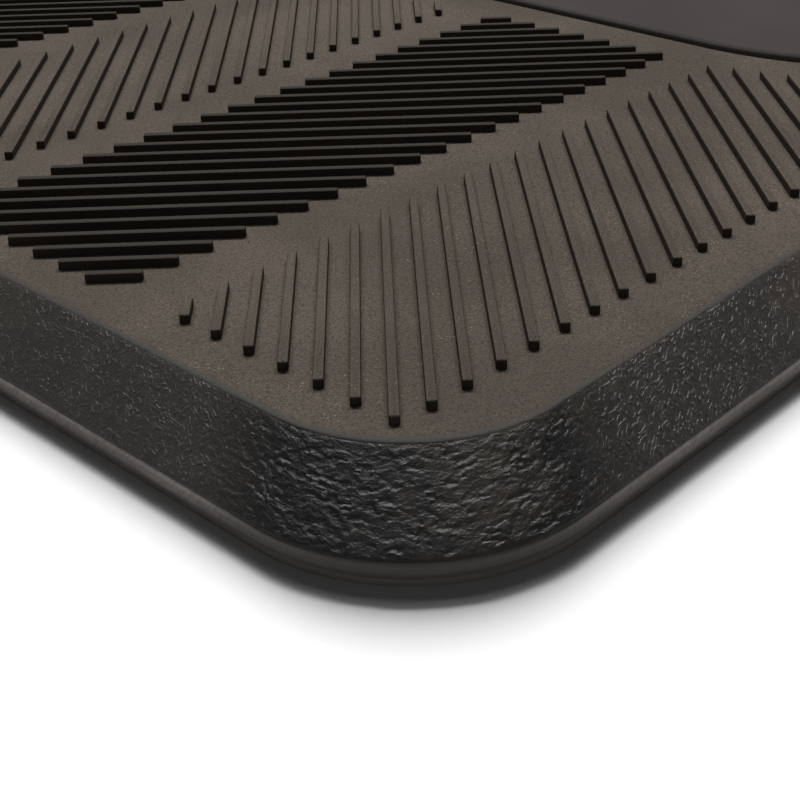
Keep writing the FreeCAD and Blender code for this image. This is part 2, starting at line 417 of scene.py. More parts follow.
# The moulded grain: size along the edge and up the bevel, and height
RIPPLE_LENGTH = 2.2
RIPPLE_SPACING = 0.75
RIPPLE_STEP = 0.11
RIPPLE_SOFTNESS = 0.2
RIPPLE_LIP = 0.16
RIPPLE_LIP_WIDTH = 0.11
RIPPLE_BEND = 1.2
BEND_LENGTH = 7
BEND_SPACING = 5
BREAK_LENGTH = 5
BREAK_SPACING = 3
BREAK_LIMITS = (-0.5, 0.2)
STROKE_LENGTH = 1.0
STROKE_SPACING = 1.2
STROKE_HEIGHT = 0.042
STROKE_WIDTH = 0.14
STROKE_PATCH = 1.9
LEFT_PATCH_LIMITS = (0.05, 0.4)
RIGHT_PATCH_LIMITS = (-0.45, 0.0)
SIDE_BLEND = 20
SWELL_SIZE = 9
SWELL_HEIGHT = 0.10

# Distances up the bevel, or down from its top, between which something fades; the
# share of the grain that goes outwards, and as much upwards
FOOT_FADE = (0.3, 1.5)
TOP_FADE = (4.4, 2.8)
DUST_FADE = (2.4, 0.7)
GLOSSY_SHARE = 0.9
GRAIN_LEAN = 0.7

# The deck's slight waves, and the grid of points that carries them
DECK_WAVE_SIZE = 70
DECK_WAVE_HEIGHT = 0.12
DECK_WAVE_FADE = (5, 40)
DECK_GRID = 11
DECK_GRID_SKEW = 0.31
DECK_GRID_EDGE = 4
DECK_GRID_RECESS = 2

# Each noise is cut at its own level, so that no two follow each other
BEND_LEVEL = 3.7
BREAK_LEVEL = 27.1
RIPPLE_LEVEL = 11.3
STROKE_LEVEL = 63.9
PATCH_LEVEL = 81.3
SWELL_LEVEL = 41.9
DECK_LEVEL = 5.2


def cover_step(distance):
    """Column spacing, closest at the near corner."""
    if abs(distance) < FINE_REACH:
        return FINE_STEP
    return MIDDLE_STEP if abs(distance) < MIDDLE_REACH else COARSE_STEP


def bevel_section():
    """The bevel's cross-section from its foot up to the flat of the deck."""
    lean = math.degrees(math.atan2(DECK_TOP - BASE_TOP, PLATEAU_INSET - COVER_INSET))
    tangent = PLATEAU_ROUNDING * math.tan(math.radians(lean) / 2)
    centre = (PLATEAU_INSET + tangent, DECK_TOP - PLATEAU_ROUNDING)
    foot_tangent = FOOT_ROUNDING * math.tan(math.radians(90 - lean) / 2)
    foot_centre = (COVER_INSET + FOOT_ROUNDING, BASE_TOP + foot_tangent)
    foot = [(COVER_INSET, BASE_TOP)]
    foot += arc_points(foot_centre, FOOT_ROUNDING, 180, 90 + lean, count=3)
    return foot + arc_points(centre, PLATEAU_ROUNDING, 90 + lean, 90, count=12)


def surface_noise(along, up, level):
    """A slice of Blender's own noise, which is the same on every run."""
    return noise.noise(Vector((along, up, level)))


def ridge(wave, width):
    """A narrow ridge where a noise crosses zero."""
    return math.exp(-(wave / width) ** 2)


def ripple_height(distance, climb):
    """Broken steps with a raised lip, which run along the edge."""
    bend = surface_noise(distance / BEND_LENGTH, climb / BEND_SPACING, BEND_LEVEL)
    up = climb / RIPPLE_SPACING + RIPPLE_BEND * bend
    wave = surface_noise(distance / RIPPLE_LENGTH, up, RIPPLE_LEVEL)
    step = RIPPLE_STEP * wave / math.hypot(wave, RIPPLE_SOFTNESS)
    lip = RIPPLE_LIP * ridge(wave, RIPPLE_LIP_WIDTH)
    gaps = surface_noise(distance / BREAK_LENGTH, climb / BREAK_SPACING, BREAK_LEVEL)
    return (step + lip) * smooth_step(*BREAK_LIMITS, gaps)


def stroke_height(distance, climb):
    """Small curved strokes, closer together on the right of the near corner."""
    wave = surface_noise(distance / STROKE_LENGTH, climb / STROKE_SPACING, STROKE_LEVEL)
    patch = surface_noise(distance / STROKE_PATCH, climb / STROKE_PATCH, PATCH_LEVEL)
    right = smooth_step(-SIDE_BLEND, SIDE_BLEND, distance)
    limits = [
        there + (here - there) * right
        for there, here in zip(LEFT_PATCH_LIMITS, RIGHT_PATCH_LIMITS)
    ]
    return STROKE_HEIGHT * ridge(wave, STROKE_WIDTH) * smooth_step(*limits, patch)


def grain_height(distance, climb, corner, reach):
    """Relief of the bevel's moulded grain, in millimetres.

    Ripples at the corner give way to strokes along the sides. Both flatten out
    where the fine mesh ends (reach), and only a slow swell goes all the way round.
    """
    strokes = stroke_height(distance, climb) * (1 - corner)
    fine = ripple_height(distance, climb) * corner + strokes
    swell = surface_noise(distance / SWELL_SIZE, climb / (SWELL_SIZE / 2), SWELL_LEVEL)
    return fine * reach + SWELL_HEIGHT * swell


def deck_wave(x, y):
    """Slight unevenness of the deck, none beside the centre pad's recess."""
    from_pad = rounded_distance(x, y, PAD_HIGH.x, PAD_HIGH.y, PAD_RADIUS)
    wave = surface_noise(x / DECK_WAVE_SIZE, y / DECK_WAVE_SIZE, DECK_LEVEL)
    return DECK_WAVE_HEIGHT * wave * smooth_step(*DECK_WAVE_FADE, from_pad)


def rounded_distance(x, y, half_x, half_y, radius):
    """How far a point is outside a rounded rectangle; negative inside."""
    over_x = abs(x) - half_x + radius
    over_y = abs(y) - half_y + radius
    outside = math.hypot(max(over_x, 0), max(over_y, 0))
    return outside + min(max(over_x, over_y), 0) - radius


def build_bevel(shell, columns):
    """The bevel's grid. Returns its foot loop and its top loop."""
    section = bevel_section()
    rows = {
        True: resample(section, 2 * COARSE_ROWS),
        False: resample(section, COARSE_ROWS),
    }
    total = rows[True][-1][2]
    uprights = []
    for column in columns:
        _, normal, distance = column
        fine = abs(distance) < FINE_REACH
        corner = corner_share(distance)
        fade_start, fade_end = FINE_REACH - FINE_FADE[0], FINE_REACH - FINE_FADE[1]
        reach = 1 - smooth_step(fade_start, fade_end, abs(distance))
        upright = []
        for inset, height, climb in rows[fine]:
            place = outline_place(column, inset, bevel_radius(inset))
            top_fade = 1 - smooth_step(total - TOP_FADE[0], total - TOP_FADE[1], climb)
            fade = smooth_step(*FOOT_FADE, climb) * top_fade
            lift = grain_height(distance, climb, corner, reach) * fade * GRAIN_LEAN
            wave = deck_wave(place.x, place.y) * climb / total
            place += normal * lift
            index = shell.add((place.x, place.y, height + lift + wave))
            shell.flow[index] = (distance, climb, corner)
            share = 1 - smooth_step(total - DUST_FADE[0], total - DUST_FADE[1], climb)
            shell.mark("bevel", index, share)
            upright.append(index)
        uprights.append(upright)
    for left, right in zip(uprights, uprights[1:] + uprights[:1]):
        before = len(shell.faces)
        shell.zip_columns(left, right)
        for face in range(before, len(shell.faces)):
            share = min(shell.shares["bevel"][corner] for corner in shell.faces[face])
            if share >= GLOSSY_SHARE:
                shell.second.append(face)
    return [upright[0] for upright in uprights], [upright[-1] for upright in uprights]


def rib_lines():
    """Centre lines of the ribs at both ends of the mat, as in the CAD model.

    Each comes with whether its strip leans forwards.
    """
    left = RIB_END_MARGIN - HALF_LENGTH
    depth = 2 * (HALF_DEPTH - RIB_SIDE_MARGIN)
    strip_depth = (depth - (STRIP_COUNT - 1) * STRIP_GAP) / STRIP_COUNT
    across = math.ceil(strip_depth / RIB_PITCH)
    along = math.ceil(-left / RIB_PITCH)
    for strip in range(STRIP_COUNT):
        front = RIB_SIDE_MARGIN - HALF_DEPTH + strip * (strip_depth + STRIP_GAP)
        forwards = strip % 2 == 0
        lean = strip_depth if forwards else -strip_depth
        shift = 0 if forwards else BACKWARD_RIB_SHIFT
        for number in range(-across, along + across):
            foot = left + shift + number * RIB_PITCH
            start = Vector((foot, front))
            run = Vector((lean, strip_depth))
            piece = clip_rib(start, run, left + FORWARD_RIB_INSET if forwards else left)
            if piece and (piece[1] - piece[0]).length > SHORTEST_RIB:
                first, last = piece
                yield first, last, forwards
                yield Vector((-last.x, last.y)), Vector((-first.x, first.y)), forwards


def clip_rib(start, run, left):
    """The part of a rib's line right of the margin and clear of the centre pad."""
    def outside(share):
        place = start + run * share
        from_pad = rounded_distance(place.x, place.y, PAD_HIGH.x, PAD_HIGH.y, PAD_RADIUS)
        return min(place.x - left, -place.x, from_pad - PAD_RIB_CLEARANCE)

    step = 1 / CLIP_STEPS
    samples = [index / CLIP_STEPS for index in range(CLIP_STEPS + 1)]
    kept = [share for share in samples if outside(share) > 0]
    if not kept:
        return None
    ends = []
    for end, beyond in ((kept[0], kept[0] - step), (kept[-1], kept[-1] + step)):
        if 0 <= beyond <= 1:
            for _ in range(CLIP_HALVINGS):
                middle = (end + beyond) / 2
                end, beyond = (middle, beyond) if outside(middle) > 0 else (end, middle)
        ends.append(start + run * end)
    return ends


def rib_outline(first, last, inset):
    """A rib's plan, anticlockwise, drawn in by an inset."""
    run = (last - first).normalized()
    side = Vector((-run.y, run.x))
    half = RIB_WIDTH / 2 - inset
    length = (last - first).length
    cut = RIB_END_CHAMFER
    segments = max(1, round(length / RIB_SEGMENT))
    stations = [cut + (length - 2 * cut) * index / segments for index in range(segments + 1)]
    right = [(station, -half) for station in stations]
    back = [(length - inset, cut - half), (length - inset, half - cut)]
    left = [(station, half) for station in reversed(stations)]
    front = [(inset, half - cut), (inset, cut - half)]
    return [first + run * along + side * out for along, out in right + back + left + front]


def build_rib(shell, first, last, forwards):
    """A square-ended rib with slightly rounded top edges. Returns its foot loop."""
    # Painted shade: backward-leaning rib tops are painted darker, forward-leaning ones a little
    top_darkening = FORWARD_TOP_SHADE if forwards else 1
    loops = []
    for inset, rise, side, top in RIB_SECTION:
        loop = []
        for place in rib_outline(first, last, inset):
            height = DECK_TOP + rise + deck_wave(place.x, place.y)
            index = shell.add((place.x, place.y, height))
            shell.mark("rib_side", index, side)
            shell.mark("painted_top_shade", index, top_darkening * top)
            loop.append(index)
        loops.append(loop)
    for lower, upper in zip(loops, loops[1:]):
        shell.bridge(lower, upper)
    shell.faces.append(tuple(loops[-1]))
    return loops[0]


def deck_grid(ribs):
    """Inner points of the deck, clear of its edge, its ribs and its recess."""
    half_x, half_y = HALF_LENGTH - PLATEAU_INSET, HALF_DEPTH - PLATEAU_INSET
    columns, rows = math.ceil(half_x / DECK_GRID) + 1, math.ceil(half_y / DECK_GRID) + 1
    points = []
    for column in range(-columns, columns + 1):
        for row in range(-rows, rows + 1):
            x = column * DECK_GRID + DECK_GRID_SKEW * DECK_GRID * (row % 2)
            y = row * DECK_GRID
            edge = rounded_distance(x, y, half_x, half_y, PLATEAU_RADIUS)
            pad = rounded_distance(x, y, PAD_HIGH.x, PAD_HIGH.y, PAD_RADIUS)
            inside = edge < -DECK_GRID_EDGE and pad > DECK_GRID_RECESS
            if inside and clear_of_ribs(x, y, ribs):
                points.append((x, y))
    return points


def clear_of_ribs(x, y, ribs):
    """Whether a point is a rib's width or more from every rib's centre line."""
    place = Vector((x, y))
    for first, last, _ in ribs:
        run = last - first
        share = min(1, max(0, (place - first).dot(run) / run.length_squared))
        if (first + run * share - place).length < RIB_WIDTH:
            return False
    return True


def build_cover():
    """The cover, closed underneath by its foot and the hollow for the core."""
    shell = Shell()
    columns = walk_outline(HALF_LENGTH, HALF_DEPTH, CORNER_RADIUS, cover_step)
    foot, top = build_bevel(shell, columns)

    pad_columns = walk_outline(PAD_HIGH.x, PAD_HIGH.y, PAD_RADIUS, lambda distance: RECESS_STEP)
    recess = [
        shell.ring(pad_columns, PAD_RADIUS, -PAD_GAP, height)
        for height in (PAD_LOW.z, DECK_TOP)
    ]
    shell.bridge(recess[1], recess[0])
    shell.fill(recess[0])

    lines = list(rib_lines())
    feet = [build_rib(shell, *line) for line in lines]
    grid = deck_grid(lines)
    shell.fill(top, [recess[1]] + feet, grid, lambda x, y: DECK_TOP + deck_wave(x, y))

    inner = walk_outline(HALF_LENGTH, HALF_DEPTH, CORNER_RADIUS, lambda distance: CAVITY_STEP)
    cavity = [
        shell.inset_ring(inner, PLATEAU_INSET, HOLLOW_RADIUS, height)
        for height in (BASE_TOP, CAVITY_TOP)
    ]
    shell.fill(foot, [cavity[0]], upward=False)
    shell.bridge(cavity[1], cavity[0])
    shell.fill(cavity[1], upward=False)
    return shell


# Base: bull-nosed layer with the rim that locates the cover

BASE_FINE_STEP = 0.9
BASE_COARSE_STEP = 2.6
FLASH_HALF_WIDTH = 0.12


def base_step(distance):
    return BASE_FINE_STEP if abs(distance) < MIDDLE_REACH else BASE_COARSE_STEP


def build_base():
    """The base, from its bottom face up its nose, over its top and its rim."""
    shell = Shell()
    columns = walk_outline(HALF_LENGTH, HALF_DEPTH, CORNER_RADIUS, base_step)
    low, high = BASE_LOW.z, BASE_LEDGE
    lower_centre = (BASE_BOTTOM_ROUNDING + FLASH_SIZE, low + BASE_BOTTOM_ROUNDING)
    upper_centre = (BASE_TOP_ROUNDING + FLASH_SIZE, high - BASE_TOP_ROUNDING)
    flash = low + FLASH_HEIGHT
    nose = arc_points(lower_centre, BASE_BOTTOM_ROUNDING, 270, 180, count=4)
    nose.append((FLASH_SIZE, flash - FLASH_HALF_WIDTH))
    nose.append((0, flash))
    nose.append((FLASH_SIZE, flash + FLASH_HALF_WIDTH))
    nose += arc_points(upper_centre, BASE_TOP_ROUNDING, 180, 90, count=8)
    section = [(inset, CORNER_RADIUS - inset, height) for inset, height in nose]
    rim_inner_inset = RIM_OUTER_INSET + RIM_WIDTH
    rim_radius = HOLLOW_RADIUS + PLATEAU_INSET
    for inset, height in (
        (RIM_OUTER_INSET, high),
        (RIM_OUTER_INSET, BASE_HIGH.z),
        (rim_inner_inset, BASE_HIGH.z),
        (rim_inner_inset, high),
    ):
        section.append((inset, rim_radius - inset, height))
    loops = []
    climb = 0
    last_inset, _, last_height = section[0]
    for inset, radius, height in section:
        climb += math.hypot(inset - last_inset, height - last_height)
        last_inset, last_height = inset, height
        loop = shell.inset_ring(columns, inset, radius, height)
        for index, (_, _, distance) in zip(loop, columns):
            shell.flow[index] = (distance, climb, corner_share(distance))
        loops.append(loop)
    for lower, upper in zip(loops, loops[1:]):
        shell.bridge(lower, upper)
    shell.fill(loops[0], upward=False)
    shell.fill(loops[-1])
    return shell


# Centre pad, and the foam pieces

def build_pad():
    """The smooth skin: a shallow crowned tray turned upside down."""
    shell = Shell()
    columns = walk_outline(PAD_HIGH.x, PAD_HIGH.y, PAD_RADIUS, lambda distance: PAD_STEP)
    low, high = PAD_LOW.z, PAD_HIGH.z
    section = [(0, low), (0, high - PAD_ROUNDING - PAD_SHOULDER)]
    shoulder = (PAD_ROUNDING, high - PAD_ROUNDING)
    section += arc_points(shoulder, PAD_ROUNDING, 180, 90, count=8)
    section += [(inset, crown(inset, high)) for inset in PAD_RINGS]
    loops = [shell.ring(columns, PAD_RADIUS, inset, height) for inset, height in section]
    for lower, upper in zip(loops, loops[1:]):
        shell.bridge(lower, upper)
    shell.fill(loops[-1])
    hollow_top = high - PAD_SKIN
    hollow = [shell.ring(columns, PAD_RADIUS, PAD_SKIN, height) for height in (low, hollow_top)]
    shell.bridge(hollow[0], loops[0])
    shell.bridge(hollow[1], hollow[0])
    shell.fill(hollow[1], upward=False)
    return shell


def crown(inset, high):
    """Height of the pad's skin, swelling a little away from its edge."""
    edge = 1 - smooth_step(*PAD_EDGE_REACH, inset)
    return high + PAD_CROWN * smooth_step(0, PAD_CROWN_REACH, inset) - PAD_EDGE_DIP * edge


def build_foam(low, high, radius, rounding, dip):
    """A cut foam slab: soft edges and sides that draw in by the dip."""
    shell = Shell()
    columns = walk_outline(high.x, high.y, radius, lambda distance: FOAM_STEP)
    middle = (low.z + high.z) / 2
    section = arc_points((rounding, low.z + rounding), rounding, 270, 180, count=5)
    section.append((dip, middle))
    section += arc_points((rounding, high.z - rounding), rounding, 180, 90, count=5)
    section += [(inset, high.z) for inset in FOAM_RINGS]
    loops = [shell.ring(columns, radius, inset, height) for inset, height in section]
    for lower, upper in zip(loops, loops[1:]):
        shell.bridge(lower, upper)
    shell.faces.append(tuple(reversed(loops[0])))
    shell.faces.append(tuple(loops[-1]))
    return shell


# Materials

# Colours
DECK_DARK = (0.066, 0.055, 0.046)
DECK_LIGHT = (0.092, 0.077, 0.064)
DECK_GRAIN = (0.022, 0.018, 0.015)
DECK_SPECK = (0.24, 0.19, 0.13)
# Painted shade: the tops of the ribs that lean backwards, and the sides of all ribs
RIB_SHADED_TOP = (0.034, 0.030, 0.026)
RIB_SIDE = (0.030, 0.0238, 0.0195)
BEVEL_DARK = (0.0250, 0.0232, 0.0215)
BEVEL_BROWN = (0.046, 0.035, 0.025)
BEVEL_SCUFF = (0.062, 0.056, 0.048)
# Painted sheen along the rounded edge of the deck
EDGE_SHEEN = (0.060, 0.057, 0.054)
# Painted shade for the near corner of the bevel
BEVEL_CORNER_SHADE = (0.0045, 0.0041, 0.0041)
BASE_DARK = (0.190, 0.168, 0.155)
BASE_LIGHT = (0.260, 0.235, 0.220)
# Painted shade for the base at the mat's corners
BASE_CORNER_SHADE = (0.098, 0.087, 0.079)
BASE_MARK = (0.075, 0.066, 0.060)
BASE_MARK_SLANT = 35
PAD_DARK = (0.037, 0.033, 0.032)
PAD_LIGHT = (0.046, 0.042, 0.040)
# Painted light on the pad's side wall
PAD_SIDE = (0.075, 0.068, 0.062)
PAD_SIDE_FADE = (0.6, 0.1)
GRIP_DARK = (0.130, 0.115, 0.105)
GRIP_LIGHT = (0.190, 0.170, 0.158)
CORE_DARK = (0.03, 0.03, 0.032)
CORE_LIGHT = (0.11, 0.11, 0.115)
CUSHION_DARK = (0.06, 0.06, 0.06)
CUSHION_LIGHT = (0.2, 0.2, 0.2)

# Roughness and specular level
DECK_FINISH = (0.75, 0.02)
BEVEL_FINISH = (0.43, 0.28)
BASE_FINISH = (0.6, 0.3)
PAD_FINISH = (0.7, 0.02)
GRIP_FINISH = (0.6, 0.3)
FOAM_ROUGHNESS = 0.85

# Bump depths, in metres
COVER_BUMP = 0.0005
BASE_BUMP = 0.00003
PAD_BUMP = 0.00002
GRIP_BUMP = 0.00003
FOAM_BUMP = 0.00015


def add_node(tree, kind, inputs=None, **settings):
    """A shader node. An input is a constant or another node's output."""
    made = tree.nodes.new("ShaderNode" + kind)
    for name, value in settings.items():
        setattr(made, name, value)
    for name, value in (inputs or {}).items():
        if isinstance(value, bpy.types.NodeSocket):
            tree.links.new(value, made.inputs[name])
        else:
            made.inputs[name].default_value = value
    return made


def math_node(tree, operation, first, second=0.0, third=0.0):
    made = add_node(tree, "Math", {0: first, 1: second, 2: third}, operation=operation)
    return made.outputs[0]


def scaled(tree, vector, factors):
    """A coordinate with each axis multiplied by its own factor."""
    made = add_node(tree, "VectorMath", {0: vector, 1: factors}, operation="MULTIPLY")
    return made.outputs[0]


def noise_node(tree, vector, scale, detail=2.0, roughness=0.5):
    """Noise from 0 to 1, with a scale per unit of the vector."""
    inputs = {"Vector": vector, "Scale": scale, "Detail": detail, "Roughness": roughness}
    return add_node(tree, "TexNoise", inputs).outputs["Fac"]


def ramp_node(tree, value, low, high, to_low=0.0, to_high=1.0):
    """A smooth step of a value between two limits."""
    inputs = {
        "Value": value,
        "From Min": low,
        "From Max": high,
        "To Min": to_low,
        "To Max": to_high,
    }
    return add_node(tree, "MapRange", inputs, interpolation_type="SMOOTHSTEP").outputs["Result"]


def ridge_node(tree, value, width):
    """Thin raised lines where a noise crosses its middle value."""
    offset = math_node(tree, "SUBTRACT", value, 0.5)
    share = math_node(tree, "DIVIDE", offset, width)
    square = math_node(tree, "MULTIPLY", share, share)
    return math_node(tree, "EXPONENT", math_node(tree, "MULTIPLY", square, -1.0))


def mix_colour(tree, share, first, second):
    made = add_node(tree, "Mix", data_type="RGBA")
    for socket, value in ((0, share), (6, first), (7, second)):
        if isinstance(value, bpy.types.NodeSocket):
            tree.links.new(value, made.inputs[socket])
        elif socket:
            made.inputs[socket].default_value = (*value, 1)
        else:
            made.inputs[socket].default_value = value
    return made.outputs[2]


def mix_value(tree, share, first, second):
    made = add_node(tree, "Mix", {0: share, 2: first, 3: second}, data_type="FLOAT")
    return made.outputs[0]


def bump_node(tree, height, distance):
    inputs = {"Strength": 1.0, "Distance": distance, "Height": height}
    return add_node(tree, "Bump", inputs).outputs["Normal"]


def new_material(name):
    """A material with only an output and a Principled shader."""
    material = bpy.data.materials.new(name)
    material.use_nodes = True
    tree = material.node_tree
    tree.nodes.clear()
    shader = add_node(tree, "BsdfPrincipled")
    output = add_node(tree, "OutputMaterial")
    tree.links.new(shader.outputs[0], output.inputs["Surface"])
    return material, tree, shader


def connect(tree, shader, **sockets):
    names = {"colour": "Base Color", "roughness": "Roughness", "normal": "Normal"}
    for key, output in sockets.items():
        tree.links.new(output, shader.inputs[names[key]])


def object_coordinates(tree):
    return add_node(tree, "TexCoord").outputs["Object"]


def set_finish(shader, roughness, specular):
    shader.inputs["Roughness"].default_value = roughness
    shader.inputs["Specular IOR Level"].default_value = specular


def deck_colour(tree, place):
    """Warm dust over dark rubber, in cloudy patches, with pale and dark specks.

    The sides of the ribs are painted darker, as painted shade, and so are the tops of
    the ribs that lean backwards.
    """
    cloud = noise_node(tree, place, 22.0, 3.0)
    dusty = mix_colour(tree, ramp_node(tree, cloud, 0.3, 0.7), DECK_DARK, DECK_LIGHT)
    grain = noise_node(tree, place, 2200.0, 3.0, 0.7)
    grain = ramp_node(tree, grain, 0.4, 0.72, 0.0, 0.8)
    deck = mix_colour(tree, grain, dusty, DECK_GRAIN)
    cells = add_node(tree, "TexVoronoi", {"Vector": place, "Scale": 900.0})
    speck = ramp_node(tree, cells.outputs["Distance"], 0.22, 0.10)
    patch = ramp_node(tree, noise_node(tree, place, 90.0, 2.0), 0.45, 0.68)
    speck = math_node(tree, "MULTIPLY", math_node(tree, "MULTIPLY", speck, patch), 0.6)
    deck = mix_colour(tree, speck, deck, DECK_SPECK)

    # Painted shade: backward-leaning rib tops and all rib sides get darker colours
    top_shade_mask = add_node(tree, "Attribute", attribute_name="painted_top_shade").outputs["Fac"]
    side = add_node(tree, "Attribute", attribute_name="rib_side").outputs["Fac"]
    return mix_colour(tree, side, mix_colour(tree, top_shade_mask, deck, RIB_SHADED_TOP), RIB_SIDE)


def bevel_colour(tree, place, flow):
    """Dark rubber with brown dust in patches and some grey scuffs.

    The corner is painted darker than the sides, as painted shade, less so where the
    brown dust lies. The dust is thicker right of it.
    """
    parts = add_node(tree, "SeparateXYZ", {0: flow})
    brown = ramp_node(tree, noise_node(tree, place, 45.0, 4.0, 0.6), 0.42, 0.66)
    right = ramp_node(tree, parts.outputs["X"], -30.0, 25.0, 0.25, 1.0)
    brown = math_node(tree, "MULTIPLY", brown, right)
    side = mix_colour(tree, brown, BEVEL_DARK, BEVEL_BROWN)
    scuff = ramp_node(tree, noise_node(tree, place, 420.0, 4.0, 0.65), 0.52, 0.75, 0.0, 0.45)
    scuffed = mix_colour(tree, scuff, side, BEVEL_SCUFF)
    # Painted shade: the bevel is mixed towards near black at the corner
    shade_strength = ramp_node(tree, brown, 0.2, 1.0, 0.92, 0.55)
    corner_shade = math_node(tree, "MULTIPLY", parts.outputs["Z"], shade_strength)
    return mix_colour(tree, corner_shade, scuffed, BEVEL_CORNER_SHADE)


def bevel_relief(tree, flow):
    """Fine part of the bevel's moulded grain, along the edge and up the bevel."""
    parts = add_node(tree, "SeparateXYZ", {0: flow})
    surface = scaled(tree, flow, (1.0, 1.0, 0.0))
    warp = add_node(tree, "TexNoise", {"Vector": surface, "Scale": 0.22, "Detail": 1.0})
    inputs = {0: warp.outputs["Color"], 1: (2.0, 2.0, 0.0), 2: surface}
    bent = add_node(tree, "VectorMath", inputs, operation="MULTIPLY_ADD").outputs[0]
    ripples = noise_node(tree, scaled(tree, bent, (0.40, 1.05, 0.0)), 1.0, 3.0, 0.5)
    lines = noise_node(tree, scaled(tree, bent, (0.75, 0.7, 0.0)), 1.0, 0.0)
    strokes = ridge_node(tree, lines, 0.09)
    away = ramp_node(tree, math_node(tree, "ABSOLUTE", parts.outputs["X"]), 40, 160, 0.38, 0.5)
    patches = math_node(tree, "SUBTRACT", noise_node(tree, surface, 0.5, 1.0), away)
    strokes = math_node(tree, "MULTIPLY", strokes, ramp_node(tree, patches, 0.0, 0.15))
    depth = ramp_node(tree, parts.outputs["X"], -20, 20, 0.18, 0.34)
    strokes = math_node(tree, "MULTIPLY", strokes, depth)
    ripples = math_node(tree, "MULTIPLY", ripples, 0.6)
    relief = mix_value(tree, parts.outputs["Z"], strokes, ripples)
    pebble = noise_node(tree, surface, 2.2, 3.0, 0.6)
    return math_node(tree, "MULTIPLY_ADD", pebble, 0.2, relief)


def cover_material(name, finish):
    """Dusty deck and ribs, cleaner bevel; the two blend along the deck's edge, where a
    grey painted sheen runs along the rounding.

    Deck and bevel have the same colours and relief, each with its own finish.
    """
    material, tree, shader = new_material(name)
    place = object_coordinates(tree)
    flow = add_node(tree, "Attribute", attribute_name="flow").outputs["Vector"]
    bevel = add_node(tree, "Attribute", attribute_name="bevel").outputs["Fac"]
    colour = mix_colour(tree, bevel, deck_colour(tree, place), bevel_colour(tree, place, flow))
    # Painted sheen: a grey strip where the deck turns down into the bevel
    clean = math_node(tree, "SUBTRACT", 1.0, bevel)
    edge = math_node(tree, "MULTIPLY", math_node(tree, "MULTIPLY", bevel, clean), 3.0)
    colour = mix_colour(tree, edge, colour, EDGE_SHEEN)
    bevel_height = math_node(tree, "MULTIPLY", bevel_relief(tree, flow), bevel)
    deck_height = math_node(tree, "MULTIPLY", noise_node(tree, place, 1500.0, 3.0, 0.6), 0.2)
    height = math_node(tree, "ADD", bevel_height, deck_height)
    normal = bump_node(tree, height, COVER_BUMP)
    set_finish(shader, *finish)
    connect(tree, shader, colour=colour, normal=normal)
    return material


def base_material():
    """Lighter dusty rubber, with faint slanting rub marks, and painted shade at the corners."""
    material, tree, shader = new_material("dusty_base_rubber")
    place = object_coordinates(tree)
    flow = add_node(tree, "Attribute", attribute_name="flow").outputs["Vector"]
    turn = {"Vector": flow, "Angle": math.radians(BASE_MARK_SLANT)}
    slant = add_node(tree, "VectorRotate", turn, rotation_type="Z_AXIS").outputs[0]
    marks = noise_node(tree, scaled(tree, slant, (2.2, 0.35, 0.0)), 1.0, 2.0)
    cloud = noise_node(tree, place, 40.0, 3.0)
    pale = mix_colour(tree, ramp_node(tree, cloud, 0.35, 0.7), BASE_DARK, BASE_LIGHT)
    # Painted shade: the base is darker at the corners
    corner = add_node(tree, "SeparateXYZ", {0: flow}).outputs["Z"]
    pale = mix_colour(tree, corner, pale, BASE_CORNER_SHADE)
    marked = ramp_node(tree, marks, 0.45, 0.65, 0.0, 0.4)
    colour = mix_colour(tree, marked, pale, BASE_MARK)
    grain = noise_node(tree, place, 900.0, 2.0)
    height = math_node(tree, "MULTIPLY_ADD", marks, 0.5, grain)
    normal = bump_node(tree, height, BASE_BUMP)
    set_finish(shader, *BASE_FINISH)
    connect(tree, shader, colour=colour, normal=normal)
    return material


def pad_material():
    """Smooth grey skin with a fine brushed look, and sides painted a little paler, as
    painted light on the side wall in shade.
    """
    material, tree, shader = new_material("smooth_pad_skin")
    place = object_coordinates(tree)
    cloud = noise_node(tree, place, 12.0, 3.0)
    colour = mix_colour(tree, ramp_node(tree, cloud, 0.3, 0.7), PAD_DARK, PAD_LIGHT)
    height = add_node(tree, "SeparateXYZ", {0: place}).outputs["Z"]
    # Painted light: the side wall is painted paler than the top
    side_end, top_start = ((PAD_HIGH.z - below) * MM for below in PAD_SIDE_FADE)
    top = ramp_node(tree, height, side_end, top_start)
    colour = mix_colour(tree, top, PAD_SIDE, colour)
    brushed = noise_node(tree, scaled(tree, place, (400.0, 1500.0, 0.0)), 1.0, 2.0)
    normal = bump_node(tree, brushed, PAD_BUMP)
    set_finish(shader, *PAD_FINISH)
    connect(tree, shader, colour=colour, normal=normal)
    return material


def grip_material():
    """Dusty, slightly tacky sheet rubber."""
    material, tree, shader = new_material("grip_rubber")
    place = object_coordinates(tree)
    cloud = noise_node(tree, place, 60.0, 3.0)
    colour = mix_colour(tree, cloud, GRIP_DARK, GRIP_LIGHT)
    normal = bump_node(tree, noise_node(tree, place, 1200.0, 2.0), GRIP_BUMP)
    set_finish(shader, *GRIP_FINISH)
    connect(tree, shader, colour=colour, normal=normal)
    return material


